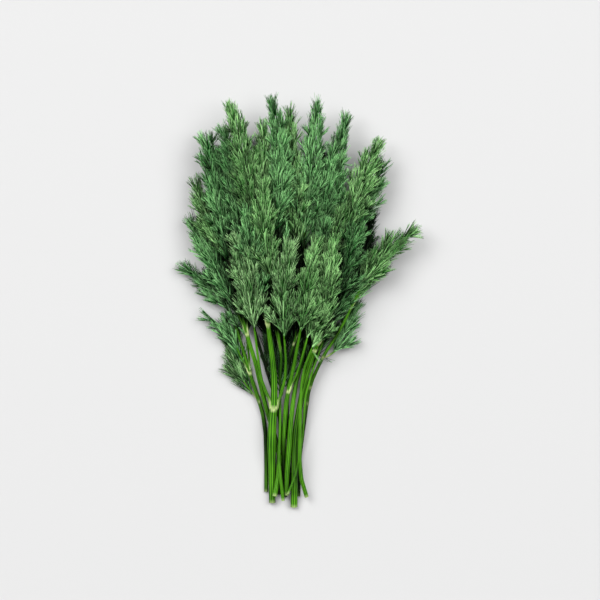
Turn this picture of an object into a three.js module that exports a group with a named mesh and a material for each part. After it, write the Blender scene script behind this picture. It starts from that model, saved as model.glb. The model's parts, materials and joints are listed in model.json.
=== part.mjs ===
// A bunch of fresh dill, laid on its side: twelve cut stalks lie together at the foot and fan out
// into forty-seven feathery leaves. X is across the bunch, +Y runs from the cut ends to the tips and
// +Z is up, away from the surface that it lies on. Sizes are in millimetres and angles in radians.
//
// Each stalk is one solid with the bare footstalks of its leaves. Each leaf is one solid: a rib with
// short whorls, from which side ribs and three-sided threads grow out of the rib's own faces. Stalks
// and leaves that would cross are first eased apart in height, and each thread is bent clear of its
// neighbours or left out.
import * as THREE from "three";

// ---------- Driving dimensions ----------
const MIDDLE = [-0.91, -0.51]; // the middle of the finished bunch, in the routes' own X and Y

// Stalks and footstalks
const STALK_SIDES = 6;
const THICK_STALK = 2.5; // a stalk with a larger radius than this gets THICK_SIDES
const THICK_SIDES = 8;
const STALK_RING = 15; // longest plain stretch of a stalk between two rings
const JOINT_HALF = 0.65; // half of a joint's length, in stalk radii
const SHORT_JOINT = 1.3; // and the least that it may be
const FOOTSTALK = 0.62; // a footstalk's radius at its root, as a share of the stalk's
const FOOTSTALK_MOST = 1.7; // and the most that it may be
const FOOTSTALK_END = 0.8; // radius of a footstalk where its leaf starts
const JOINT_GAP = 0.5; // between a footstalk's end and its leaf

// Leaves
const RIB_SIDES = 3;
const RIB_TIP = 0.5; // radius of a leaf's rib at its tip
const WHORL = 1.8; // length of a whorl along its rib
const SPACING = 25; // length of rib to a whorl, deep in the bunch
const OPEN_SPACING = 16.5; // the same on a leaf that reaches out of the bunch
const FEWEST_WHORLS = 3;
const FIRST_WHORL = 0.05; // where a leaf's first and last whorls stand, as shares of its length
const LAST_WHORL = 0.84;
const SIDE_TAPER = 0.62; // how much shorter the last side ribs are than the first
const SIDE_ROOT = 0.6; // radius of a side rib at its root
const SIDE_END = 0.42; // and at its last whorl
const SIDE_WHORL = 1.5; // length of a whorl along a side rib
const LONG_SIDE = 13; // a side rib longer than this has two whorls
const SHORTEST_SIDE = 6.5; // a side rib with no room for this length is left out
const THREAD = 11.5; // longest thread
const THREAD_ROOT = 0.6; // radius of a thread at its root
const POINT = 0.05; // radius of a thread's point
const SIDE_SHARE = 0.72; // a thread on a side rib, as a share of one on the rib
const OPEN_ANGLE = 0.56; // between a rib and the threads or side ribs that leave it

// Room
const STEP = 4; // spacing of the points that a route is settled at
const STALK_ROOM = 0.45; // height that a stalk keeps free above and below itself
const LEAF_ROOM = 3.1; // half of the height that a leaf's rib keeps to itself
const CLEAR = 0.5; // least gap between threads of two leaves
const CLEAR_OWN = 0.15; // least gap between threads of one leaf
const NEIGHBOUR = 4.5; // two roots of one leaf closer than this may touch
const THREAD_ROOTED = 0.4; // share of a thread that may be close to its own leaf
const SIDE_ROOTED = 0.8; // and of the first third of a side rib
const FLOOR_SNAP = 0.4; // a stalk's underside this close to the surface lies flat on it
const CEILING = 41; // highest that a rib may be eased to
const NEAR_ROOT = 10; // a footstalk isn't eased away from its stalk within this of its root

const COLOURS = { stalk: 0x6fa83c, deep: 0x2f6b45, fresh: 0x4a8a3c, olive: 0x86995a };

// ---------- The stalks and their leaves ----------
// A stalk's route is a list of [x, y, z, radius] from its cut end up. It is bare up to point
// `leafy`, and a leaf grows on from there to the route's end. Each leaf in `leaves` leaves the stalk
// at point `at` of that route; its own route is a list of [x, y, z], bare up to its point `leafy`,
// counted from 0 at the stalk. `reach` is the length of its longest side ribs, and `open` marks a
// leaf that reaches out of the bunch, where its whorls stand closer.
const STALKS = [
  {
    route: [
      [-20.4, -147, 3, 2.6], [-20.6, -122, 4.5, 2.9], [-20.7, -100, 7.6, 3.6], [-20.1, -86, 8.8, 3.3],
      [-19, -72, 10, 2.9], [-19.2, -49, 14, 2.2], [-21.2, -35, 18, 1.9], [-23.9, -11, 24, 1.6],
      [-25.5, 6, 28, 1.3], [-27, 30, 32, 1.1], [-27.5, 45, 33, 0.9], [-27, 90, 33, 0.8],
      [-26.5, 132, 29, 0.8],
    ],
    leafy: 10, reach: 20, tint: "fresh", open: true,
    leaves: [
      { at: 4, route: [[-23, -70, 10.5], [-25.5, -65, 11.5], [-28, -58, 13], [-31, -38, 20], [-33, -21, 27],
          [-37, 2, 36], [-41.5, 26, 39], [-46, 49, 38]], leafy: 5, reach: 22, tint: "olive" },
      { at: 4, route: [[-15.5, -70.5, 11], [-13, -65, 12.5], [-11, -56.6, 15], [-10.3, -42, 20],
          [-11.4, -27, 26], [-13, -5, 34], [-10.5, 20, 39], [-7, 44, 40]],
        leafy: 5, reach: 20, tint: "olive" },
      { at: 7, route: [[-27, -8.5, 25], [-30, -5, 27], [-33.5, 16, 34], [-36.5, 42, 38], [-39, 68, 38]],
        leafy: 2, reach: 20, tint: "deep" },
      { at: 7, route: [[-20.8, -8, 25], [-19.8, 6, 28], [-22, 19.7, 31], [-25, 39, 37], [-27, 64, 41],
          [-26, 88, 41]], leafy: 3, reach: 20, tint: "fresh" },
      { at: 9, route: [[-30.5, 36, 33], [-33, 55, 35], [-37, 85, 36], [-44, 118, 34], [-52, 146, 28]],
        leafy: 2, reach: 24, tint: "fresh", open: true },
      { at: 9, route: [[-22.5, 38, 33], [-18, 60, 35], [-15, 85, 36], [-15.5, 115, 34], [-21, 150, 27]],
        leafy: 2, reach: 20, tint: "deep", open: true },
    ],
  },
  {
    route: [
      [-18.6, -142, 8.7, 1.9], [-16.4, -130, 7.8, 1.9], [-14.9, -118, 6, 1.9], [-15.6, -109, 4, 1.9],
      [-18.6, -98, 2.1, 1.9], [-21.5, -89, 2.2, 1.9], [-24, -81, 4.8, 1.9], [-27.4, -67, 8, 1.9],
      [-30.4, -54, 10, 1.9], [-33.9, -39, 13, 1.8],
      [-36.9, -31, 15, 1.7], [-40, -18, 18, 1.5], [-44.5, 5, 21, 1.3], [-50, 28, 24, 1.1],
      [-52, 38, 25, 0.9], [-56, 60, 26, 0.8], [-63, 92, 26, 0.8], [-69, 124, 22, 0.8],
    ],
    leafy: 14, reach: 24, tint: "deep", open: true,
    leaves: [
      { at: 11, route: [[-43.5, -12, 18.5], [-50, 3, 19], [-61, 24, 19], [-72, 44, 17], [-81, 59, 13]],
        leafy: 2, reach: 20, tint: "deep" },
      { at: 11, route: [[-37.5, -6, 20], [-38.5, 20, 25], [-40, 38, 28], [-43, 60, 30], [-49, 95, 31],
          [-55.5, 132, 27]], leafy: 3, reach: 22, tint: "deep", open: true },
      { at: 13, route: [[-54, 33, 23], [-58, 41, 22.5], [-64, 55, 22], [-71, 72, 20], [-77, 88, 16]],
        leafy: 2, reach: 18, tint: "fresh", open: true },
    ],
  },
  {
    route: [
      [-25, -139, 1.7, 1.6], [-24.8, -122, 1.7, 1.7], [-25.2, -100, 2, 1.7], [-26.4, -86.5, 2.4, 1.7],
      [-28.4, -77, 3.2, 1.7], [-31.5, -68, 4.8, 1.6], [-35.3, -56.6, 7, 1.6], [-38.4, -46, 9, 1.5],
      [-42, -33.6, 9.5, 1.3], [-46, -20, 10, 1.2], [-52, -7, 10, 0.9], [-62, 7, 10, 0.8],
      [-73, 17, 9, 0.8], [-83.5, 24, 7, 0.8],
    ],
    leafy: 10, reach: 20, tint: "deep", open: true,
    leaves: [
      { at: 5, route: [[-35.5, -65.5, 5.5], [-40, -60, 5], [-44, -52, 5.5], [-48.5, -42, 6],
          [-54.5, -27, 6]], leafy: 2, reach: 14, tint: "olive", open: true },
      { at: 7, route: [[-41.5, -43.5, 8.5], [-45.4, -35.4, 7.5], [-50, -25, 7], [-57, -17, 6.5],
          [-67, -12, 6.5]], leafy: 2, reach: 16, tint: "deep", open: true },
      { at: 7, route: [[-37.2, -40, 10.5], [-38.8, -29, 12], [-42, -12, 14], [-50, 12, 15], [-60, 35, 14],
          [-70, 52, 12]], leafy: 2, reach: 20, tint: "deep" },
    ],
  },
  {
    route: [
      [-12.4, -145.3, 9, 1.4], [-13.7, -133, 9.5, 1.4], [-15, -123, 9.5, 1.3], [-15.6, -113.5, 9, 1.2],
      [-15, -103.7, 8.5, 1.1], [-14.6, -93, 8, 1.1], [-14.6, -75, 7.5, 1.1], [-14.7, -56.6, 9, 1.1],
      [-13.5, -42.7, 11, 1.1], [-15.3, -28, 14, 1.1], [-17, -8, 18, 1], [-17, 14, 22, 0.9],
      [-15.5, 42, 25, 0.8], [-13, 68, 27, 0.8], [-10, 92, 27, 0.8],
    ],
    leafy: 10, reach: 20, tint: "deep",
    leaves: [
      { at: 9, route: [[-18.5, -19, 16], [-21.5, -8, 18], [-25, 14, 21], [-29, 42, 24], [-33, 70, 25],
          [-37, 98, 24]], leafy: 2, reach: 20, tint: "deep" },
      { at: 7, route: [[-16.5, -48, 7], [-18, -38, 5.5], [-19, -20, 5.5], [-18, 0, 8], [-16, 20, 11]],
        leafy: 2, reach: 13, tint: "deep" },
    ],
  },
  {
    route: [
      [-11, -143, 2, 1.9], [-12.1, -125, 2.1, 1.9], [-12.3, -113.5, 3, 1.9], [-11.8, -94, 6, 1.9],
      [-10.7, -83, 7.5, 1.9], [-9.6, -68, 9, 1.8], [-7.3, -58.8, 11, 1.7], [-5.1, -51, 13, 1.5],
      [-3.7, -39, 17, 1.4], [-1.3, -30, 21, 1.2], [0, -22, 24, 0.9], [3.5, 0, 31, 0.8],
      [7, 24, 36, 0.8], [12, 46, 38, 0.8],
    ],
    leafy: 10, reach: 19, tint: "fresh",
    leaves: [
      { at: 6, route: [[-4.6, -57, 12], [-1.2, -50, 13.4], [1.5, -40, 16], [4.8, -28, 19], [9, -5, 27],
          [15, 20, 32], [21, 42, 34]], leafy: 4, reach: 19, tint: "fresh" },
    ],
  },
  {
    route: [
      [-10, -141.3, 7, 2], [-9.8, -129.6, 8, 2], [-9.1, -120, 9, 2.1], [-8.2, -110, 9.5, 2.1],
      [-7.5, -100, 10, 2.1], [-6.9, -90, 10.2, 2], [-5.8, -79, 10, 1.9], [-4.4, -68, 9.5, 1.8],
      [-2.9, -58.6, 9, 1.7], [-0.2, -49.3, 8.8, 1.6], [3, -35, 10, 1.5], [5.5, -20, 13, 1.4],
      [6, 2, 19, 1.2], [4, 24, 23, 1.1], [3, 48, 27, 0.9], [6, 80, 30, 0.8], [9.5, 112, 31, 0.8],
      [13, 147, 27, 0.8],
    ],
    leafy: 14, reach: 24, tint: "deep", open: true,
    leaves: [
      { at: 11, route: [[3, -14, 15.5], [0.6, 0, 17.5], [-1.6, 25, 23], [-5, 52, 24], [-4, 80, 26]],
        leafy: 2, reach: 20, tint: "deep" },
      { at: 13, route: [[0.5, 31, 24], [-3, 48, 27], [-5, 75, 30], [-6.5, 105, 30], [-8, 141, 26]],
        leafy: 2, reach: 20, tint: "fresh", open: true },
      { at: 13, route: [[7.5, 30, 24], [12, 42, 26], [16, 65, 29], [20, 90, 29], [24, 114, 27]],
        leafy: 2, reach: 20, tint: "deep", open: true },
    ],
  },
  {
    route: [
      [-6.6, -138, 2, 1.2], [-8, -120, 2, 1.2], [-9, -100, 2.4, 1.2], [-9, -75, 4, 1.1],
      [-8.8, -51, 7, 1.1], [-7.7, -42.7, 9, 1.1], [-5.8, -33.6, 11.5, 1], [-3.6, -26.5, 13.5, 1],
      [-3.2, -19, 15, 0.9], [-6, 0, 19, 0.8], [-9, 25, 20, 0.8], [-12, 49, 19, 0.8],
    ],
    leafy: 8, reach: 19, tint: "deep",
    leaves: [
      { at: 7, route: [[-0.9, -22.3, 14.5], [2.8, -16, 16], [8, 2, 20], [13, 22, 22], [18, 42, 22]],
        leafy: 2, reach: 18, tint: "deep" },
      { at: 4, route: [[-6.5, -42, 6], [-4, -33, 5.5], [-2.5, -15, 6], [-3.5, 5, 7.5], [-5, 25, 9]],
        leafy: 2, reach: 15, tint: "deep" },
      { at: 4, route: [[-11, -43, 6], [-12, -34, 5.5], [-12, -18, 6], [-12, 0, 8], [-11, 18, 11]],
        leafy: 2, reach: 13, tint: "deep" },
    ],
  },
  {
    route: [
      [4.9, -142.7, 6, 1.7], [3.3, -137.8, 7, 1.7], [1.3, -131.3, 8.5, 1.7], [0, -123, 9.5, 1.7],
      [-0.3, -113.5, 10, 1.7], [0, -101, 10.5, 1.7], [0.1, -92.3, 11, 1.6], [0.1, -81, 11.5, 1.3],
      [0.5, -71.6, 12, 1.2], [0.9, -60.4, 13, 1.1], [3.2, -47, 14, 1.1], [8, -35.4, 17, 1],
      [12, -25, 21, 0.9], [17, -5, 29, 0.8], [21, 20, 35, 0.8], [24, 46, 38, 0.8],
    ],
    leafy: 11, reach: 19, tint: "fresh",
    leaves: [],
  },
  {
    route: [
      [-4.5, -150, 2.5, 2.8], [-4.2, -142.7, 2.5, 2.8], [-4, -129.6, 2.5, 2.7], [-3.7, -100.4, 4.2, 2.5],
      [0, -75, 6.5, 2.4], [3.5, -58.6, 9, 2.3], [7.2, -44.7, 12, 2.2], [10.2, -35.4, 14.5, 2.1],
      [13.6, -28, 16.5, 2], [15.4, -24, 17.5, 1.9], [17.3, -12.3, 20, 1.7], [19, -4.9, 21, 1.4],
      [24, 15, 23, 1.3], [30, 40, 25, 1.2], [33.5, 52, 25.5, 0.9], [38, 67, 26, 0.8],
      [47, 92, 25, 0.8], [58, 118, 21, 0.8],
    ],
    leafy: 14, reach: 24, tint: "fresh", open: true,
    leaves: [
      { at: 9, route: [[12.6, -21.5, 19], [12, -10, 22], [13, 12, 27], [16, 36, 30], [19, 60, 30]],
        leafy: 2, reach: 19, tint: "deep" },
      { at: 9, route: [[18.7, -22, 17.5], [23, -13, 18], [31, 3, 19], [40, 17, 18], [48, 30, 14]],
        leafy: 2, reach: 19, tint: "deep" },
      { at: 10, route: [[15.4, -8, 21], [16.8, 2, 23], [20, 22, 27], [25, 44, 29], [29, 68, 29]],
        leafy: 2, reach: 19, tint: "fresh" },
      { at: 10, route: [[20.6, -9.5, 20.5], [24.5, 0, 22], [31, 20, 25], [37, 42, 26], [44, 62, 24],
          [53, 80, 19]], leafy: 2, reach: 21, tint: "deep", open: true },
      { at: 7, route: [[12, -28, 12], [15.5, -8, 9], [18, 16, 10], [19, 48, 12], [19, 82, 13],
          [18, 112, 12]], leafy: 2, reach: 18, tint: "deep" },
      { at: 13, route: [[27.4, 47, 26], [26.5, 60, 27], [26, 82, 27], [28, 106, 26], [34, 137, 21]],
        leafy: 2, reach: 17, tint: "deep", open: true },
      { at: 13, route: [[34.3, 45, 25], [41, 58, 24], [50, 79, 22], [60, 101, 17]],
        leafy: 2, reach: 22, tint: "deep", open: true },
    ],
  },
  {
    route: [
      [-1.3, -142.4, 2.4, 1.5], [-0.7, -129.6, 2.4, 1.5], [0.4, -107.7, 3, 1.5], [3.1, -90, 4, 1.5],
      [4.2, -79, 5.5, 1.5], [5.8, -68, 7, 1.5], [8.3, -58.6, 8.5, 1.5], [13.6, -46.6, 10, 1.4],
      [17.3, -38.8, 11, 1.3], [24, -29, 12, 1.2], [33, -13, 13.5, 1.1], [40, 2, 15, 1],
      [45, 12, 16, 0.9], [53, 24, 17, 0.8], [67, 40, 18, 0.8], [83, 53, 17, 0.8],
    ],
    leafy: 12, reach: 23, tint: "fresh", open: true,
    leaves: [
      { at: 8, route: [[20.5, -40, 9.5], [24, -37.5, 8], [28.5, -30, 7], [34, -19, 6.5], [40, -5, 6]],
        leafy: 2, reach: 16, tint: "deep", open: true },
      { at: 11, route: [[44.5, 6, 14], [48, 13, 13.5], [54, 25, 13], [62, 38, 11]],
        leafy: 2, reach: 14, tint: "deep" },
      { at: 6, route: [[9.5, -48, 7.5], [12, -38, 6.5], [17, -22, 6.5], [22, -2, 7.5], [27, 16, 8.5],
          [33, 42, 10], [39, 68, 11], [44, 92, 10]], leafy: 2, reach: 20, tint: "deep" },
      { at: 5, route: [[5.8, -58, 6], [4.8, -48, 5], [4.5, -30, 5], [6, -8, 7], [8, 12, 10]],
        leafy: 2, reach: 13, tint: "deep" },
      { at: 11, route: [[41.5, 10, 11.5], [43.5, 20, 8.5], [47, 40, 7.5], [52, 61, 7]],
        leafy: 2, reach: 17, tint: "deep" },
    ],
  },
  {
    route: [
      [-8.8, -140.2, 12, 0.9], [-5.2, -131.7, 10.5, 0.9], [-2.3, -123.2, 8.5, 0.9], [0.6, -108, 6.5, 0.9],
      [2.8, -89.4, 7.6, 0.9], [3, -75, 9.4, 0.9], [6, -60, 11.4, 0.9], [10, -48, 12.2, 0.9],
      [13.5, -38, 12.5, 0.9], [17.5, -26, 13, 0.9], [20, -8, 13.5, 0.8], [22, 12, 14.5, 0.8],
      [25, 32, 16, 0.8], [28, 52, 17, 0.8], [31, 72, 17, 0.8],
    ],
    leafy: 9, reach: 19, tint: "deep",
    leaves: [],
  },
  {
    route: [
      [-15.5, -141, 1.5, 1.5], [-16.6, -120, 1.5, 1.5], [-14.3, -103, 1.6, 1.5], [-14.6, -88, 1.7, 1.5],
      [-19, -68, 2.4, 1.5], [-25.5, -46, 4.2, 1.4], [-32, -25, 6, 1.3], [-38, 0, 8, 1.2],
      [-42, 25, 9.5, 1], [-44, 36, 10.5, 0.9], [-46, 55, 12, 0.8], [-50, 85, 13, 0.8], [-60, 112, 11, 0.8],
    ],
    leafy: 9, reach: 20, tint: "deep",
    leaves: [
      { at: 7, route: [[-42, 6, 8], [-50, 18, 8.5], [-60, 35, 8], [-68, 55, 8], [-74, 74, 8]],
        leafy: 2, reach: 17, tint: "deep" },
      { at: 5, route: [[-24.5, -38, 5], [-24.5, -28, 5.5], [-27, -4, 7], [-30, 26, 10], [-31, 55, 13],
          [-31, 88, 14], [-33, 118, 12]], leafy: 2, reach: 18, tint: "deep" },
    ],
  },
];

// ---------- Small helpers ----------
const UP = new THREE.Vector3(0, 0, 1);

// A seeded draw from 0 to 1, the same on every run.
let seed = 20240517;
function draw() {
  seed = (seed + 0x6d2b79f5) | 0;
  let t = Math.imul(seed ^ (seed >>> 15), 1 | seed);
  t = (t + Math.imul(t ^ (t >>> 7), 61 | t)) ^ t;
  return ((t ^ (t >>> 14)) >>> 0) / 4294967296;
}
const around = (middle, spread) => middle + (2 * draw() - 1) * spread;

// ---------- Strands: every stalk and every leaf as one settled line ----------
// A strand holds its points, the radius at each, the arc length up to each, and where the leafy
// stretch starts. Point 0 of a leaf's strand is on its stalk.
function makeStrand(route, radii, leafy, parent, parentPoint) {
  const points = [];
  const radius = [];
  const at = [0];
  const curve = new THREE.CatmullRomCurve3(route);
  const last = route.length - 1;
  points.push(route[0].clone());
  radius.push(radii[0]);
  for (let i = 0; i < last; i++) {
    const parts = Math.max(1, Math.round(route[i].distanceTo(route[i + 1]) / STEP));
    for (let j = 1; j <= parts; j++) {
      points.push(curve.getPoint((i + j / parts) / last));
      radius.push(radii[i] + ((radii[i + 1] - radii[i]) * j) / parts);
    }
    at.push(points.length - 1);
  }
  const flat = [0];
  for (let i = 1; i < points.length; i++) {
    const dx = points[i].x - points[i - 1].x;
    const dy = points[i].y - points[i - 1].y;
    flat.push(flat[i - 1] + Math.hypot(dx, dy));
  }
  return { points, radius, at, leafy: at[leafy], flat, parent, parentPoint };
}

// Half of the height that a point keeps to itself.
function room(strand, i) {
  const stepsToFull = 3;
  const fade = Math.min(1, Math.max(0, (i - strand.leafy) / stepsToFull));
  return strand.radius[i] + STALK_ROOM + fade * (LEAF_ROOM - strand.radius[i]);
}

// The pairs of points that stand too close in plan. Whichever point starts higher stays above.
function crossings(strands) {
  const pairs = [];
  strands.forEach((A, a) => {
    for (const B of strands.slice(a + 1)) {
      const siblings = A.parent && A.parent === B.parent && A.parentPoint === B.parentPoint;
      for (let i = 0; i < A.points.length; i++) {
        for (let j = 0; j < B.points.length; j++) {
          const nearRoot = B.flat[j] < NEAR_ROOT;
          if (nearRoot && (B.parent === A || (siblings && A.flat[i] < NEAR_ROOT))) continue;
          const d = Math.hypot(A.points[i].x - B.points[j].x, A.points[i].y - B.points[j].y);
          const need = room(A, i) + room(B, j);
          if (d >= need) continue;
          const above = A.points[i].z >= B.points[j].z ? 1 : -1;
          pairs.push({ A, i, B, j, above, apart: Math.sqrt(need * need - d * d) });
        }
      }
    }
  });
  return pairs;
}

// Eases crossing points apart in height, keeps each line smooth and everything above the surface.
function settle(strands) {
  const ROUNDS = 160;
  const UNSMOOTHED = 12; // the last rounds don't smooth the bare stalks
  const EASE = 0.9;
  const SMOOTH = 0.3;
  const pairs = crossings(strands);
  for (const s of strands) {
    s.push = new Float64Array(s.points.length);
    s.hits = new Float64Array(s.points.length);
  }
  for (let round = 0; round < ROUNDS; round++) {
    for (const s of strands) {
      s.push.fill(0);
      s.hits.fill(0);
    }
    for (const { A, i, B, j, above, apart } of pairs) {
      const short = apart - above * (A.points[i].z - B.points[j].z);
      if (short <= 0) continue;
      A.push[i] += (above * short) / 2;
      B.push[j] -= (above * short) / 2;
      A.hits[i]++;
      B.hits[j]++;
    }
    for (const s of strands) {
      const n = s.points.length;
      for (let i = 0; i < n; i++) {
        if (s.hits[i]) s.points[i].z += (EASE * s.push[i]) / s.hits[i];
      }
      const z = s.points.map((p) => p.z);
      for (let i = round < ROUNDS - UNSMOOTHED ? 1 : s.leafy + 1; i < n - 1; i++) {
        s.points[i].z += SMOOTH * ((z[i - 1] + z[i + 1]) / 2 - z[i]);
      }
      for (let i = 0; i < n; i++) {
        const floor = i > s.leafy + 1 ? LEAF_ROOM : s.radius[i] * Math.cos(Math.PI / STALK_SIDES);
        s.points[i].z = Math.min(CEILING, Math.max(floor, s.points[i].z));
      }
      if (s.parent) s.points[0].z = s.parent.points[s.parentPoint].z;
    }
  }
}

// Gives a settled strand its arc lengths, and a reader of place, direction and radius at a length.
function measure(strand) {
  const { points, radius } = strand;
  strand.length = [0];
  for (let i = 1; i < points.length; i++) {
    strand.length.push(strand.length[i - 1] + points[i].distanceTo(points[i - 1]));
  }
  const place = (s) => {
    let i = 1;
    while (i < points.length - 1 && strand.length[i] < s) i++;
    const t = (s - strand.length[i - 1]) / (strand.length[i] - strand.length[i - 1]);
    return { i, t };
  };
  strand.point = (s) => {
    const { i, t } = place(s);
    return points[i - 1].clone().lerp(points[i], t);
  };
  strand.girth = (s) => {
    const { i, t } = place(s);
    return radius[i - 1] + (radius[i] - radius[i - 1]) * Math.min(1, t);
  };
  strand.along = (s) => strand.point(s + 2).sub(strand.point(s - 2)).normalize();
  strand.end = strand.length[points.length - 1];
  strand.bare = strand.length[strand.leafy];
}

// ---------- Skins: closed surfaces that grow out of their own faces ----------
class Skin {
  points = [];
  faces = [];
  add(p) {
    this.points.push(p);
    return this.points.length - 1;
  }
  face(a, b, c) {
    this.faces.push(a, b, c);
  }
  middle(corners) {
    const sum = new THREE.Vector3();
    for (const c of corners) sum.add(this.points[c]);
    return sum.divideScalar(corners.length);
  }
  // Closes a polygon whose corners run anticlockwise seen from outside.
  cap(corners) {
    for (let i = 1; i < corners.length - 1; i++) this.face(corners[0], corners[i], corners[i + 1]);
  }
  // The two faces of each side between two rings: [low pair, high pair] by side.
  sides(from, to) {
    const n = from.length;
    return from.map((a, i) => {
      const [b, c, d] = [from[(i + 1) % n], to[(i + 1) % n], to[i]];
      return [[a, b, c], [a, c, d]];
    });
  }
  band(from, to) {
    for (const pair of this.sides(from, to)) for (const f of pair) this.face(...f);
  }
  point(corners, tip) {
    const t = this.add(tip);
    corners.forEach((c, i) => this.face(c, corners[(i + 1) % corners.length], t));
  }
  geometry() {
    const flat = new Float32Array(this.points.length * 3);
    this.points.forEach((p, i) => p.toArray(flat, i * 3));
    const made = new THREE.BufferGeometry();
    made.setAttribute("position", new THREE.BufferAttribute(flat, 3));
    made.setIndex(this.faces);
    return made;
  }
}

// Two directions across `along`: one as near upright as can be, and one to its right.
function crossAxes(along) {
  const upright = UP.clone().addScaledVector(along, -along.z);
  if (upright.length() < 0.1) upright.set(0, -1, 0);
  upright.normalize();
  return [upright, new THREE.Vector3().crossVectors(along, upright)];
}

// A ring of n corners whose first corner is turned by `turn` from upright.
function ring(skin, middle, along, r, n, turn) {
  const [upright, right] = crossAxes(along);
  return Array.from({ length: n }, (_, i) => {
    const angle = turn + (2 * Math.PI * i) / n;
    const p = middle.clone().addScaledVector(upright, r * Math.cos(angle));
    return skin.add(p.addScaledVector(right, r * Math.sin(angle)));
  });
}

// A ring that follows on from a polygon without a twist.
function ringAfter(skin, corners, middle, along, r) {
  const [upright, right] = crossAxes(along);
  const centre = skin.middle(corners);
  let [x, y] = [0, 0];
  corners.forEach((c, i) => {
    const d = skin.points[c].clone().sub(centre);
    const angle = Math.atan2(d.dot(right), d.dot(upright)) - (2 * Math.PI * i) / corners.length;
    x += Math.cos(angle);
    y += Math.sin(angle);
  });
  return ring(skin, middle, along, r, corners.length, Math.atan2(y, x));
}

// ---------- Clearance: every rib and thread as a thin rod ----------
const rods = [];
function addRod(owner, isRib, a, b, ra, rb) {
  const middle = a.clone().add(b).multiplyScalar(0.5);
  rods.push({ owner, isRib, a: a.clone(), b: b.clone(), ra, rb, middle, half: a.distanceTo(b) / 2 });
}

// Where two line pieces come closest: [distance, share along the first, share along the second].
function closest(p1, q1, p2, q2) {
  const [d1, d2, r] = [q1.clone().sub(p1), q2.clone().sub(p2), p1.clone().sub(p2)];
  const [a, e, f, b, c] = [d1.dot(d1), d2.dot(d2), d2.dot(r), d1.dot(d2), d1.dot(r)];
  const clamp = (v) => Math.min(1, Math.max(0, v));
  const span = a * e - b * b;
  let s = span > 1e-9 ? clamp((b * f - c * e) / span) : 0.5;
  let t = (b * s + f) / e;
  if (t < 0 || t > 1) {
    t = clamp(t);
    s = clamp((b * t - c) / a);
  }
  const gap = p1.clone().addScaledVector(d1, s).distanceTo(p2.clone().addScaledVector(d2, t));
  return [gap, s, t];
}

// A rod's root is let off, for the share `rooted` of its length, against the ribs of its own leaf and
// the threads that start near it.
function isClear(owner, a, b, ra, rb, rooted) {
  const middle = a.clone().add(b).multiplyScalar(0.5);
  const half = a.distanceTo(b) / 2;
  const pastRoot = a.clone().lerp(b, rooted);
  for (const rod of rods) {
    if (rod.middle.distanceTo(middle) > rod.half + half + 3) continue;
    const own = rod.owner === owner;
    const letOff = own && (rod.isRib || rod.a.distanceTo(a) < NEIGHBOUR);
    const r0 = letOff ? ra + (rb - ra) * rooted : ra;
    const [gap, s, t] = closest(letOff ? pastRoot : a, b, rod.a, rod.b);
    const thick = r0 + (rb - r0) * s + rod.ra + (rod.rb - rod.ra) * t;
    if (gap < thick + (own ? CLEAR_OWN : CLEAR)) return false;
  }
  return true;
}

// ---------- Stalks ----------
const sidesOf = (strand) => (Math.max(...strand.radius) > THICK_STALK ? THICK_SIDES : STALK_SIDES);

// Rings along a stalk: none further apart than STALK_RING, and a short band at each joint.
function stalkStations(strand, joints, end) {
  const marks = [0, end];
  for (const { s, half } of joints) marks.push(s - half, s + half);
  marks.sort((a, b) => a - b);
  const stations = [0];
  for (let i = 1; i < marks.length; i++) {
    const parts = Math.ceil((marks[i] - marks[i - 1]) / STALK_RING);
    for (let j = 1; j <= parts; j++) stations.push(marks[i - 1] + ((marks[i] - marks[i - 1]) * j) / parts);
  }
  return stations;
}

// Distance from a point to the nearest of a stalk's points above a joint.
function offStalk(stalk, joint, p) {
  const LOOK_AHEAD = 40;
  let nearest = Infinity;
  for (let s = joint; s < joint + LOOK_AHEAD; s++) nearest = Math.min(nearest, stalk.point(s).distanceTo(p));
  return nearest;
}

// The bare footstalk of a leaf, grown out of one side of its stalk's band. Its first ring stands where
// it is clear of the stalk.
function growFootstalk(skin, corners, strand, stalk, joint) {
  const FLARE = 1.1; // a four-sided footstalk is this much wider than a round one
  const SEEK = 0.5;
  const free = stalk.girth(joint) + strand.girth(0) * FLARE + CLEAR / 2;
  let s = SEEK;
  while (offStalk(stalk, joint, strand.point(s)) < free) s += SEEK;
  const end = strand.bare - JOINT_GAP / 2;
  const parts = Math.max(1, Math.ceil((end - s) / STALK_RING));
  let from = corners;
  for (let i = 0; i <= parts; i++) {
    const here = s + ((end - s) * i) / parts;
    const radius = strand.girth(here) * FLARE;
    const to = ringAfter(skin, from, strand.point(here), strand.along(here), radius);
    skin.band(from, to);
    from = to;
  }
  skin.cap(from);
}

// Gives each leaf at a joint the free side of the band that faces its way.
function sharePlaces(places, middle, leafStrands) {
  const LOOK = 5; // how far along the leaf its way is read
  const taken = new Map();
  for (const leaf of leafStrands) {
    const out = leaf.point(LOOK).sub(middle).normalize();
    const facing = places.map((p) => p.clone().sub(middle).dot(out));
    const free = places.map((_, i) => i).filter((i) => !taken.has(i));
    taken.set(free.reduce((best, i) => (facing[i] > facing[best] ? i : best)), leaf);
  }
  return taken;
}

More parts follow.
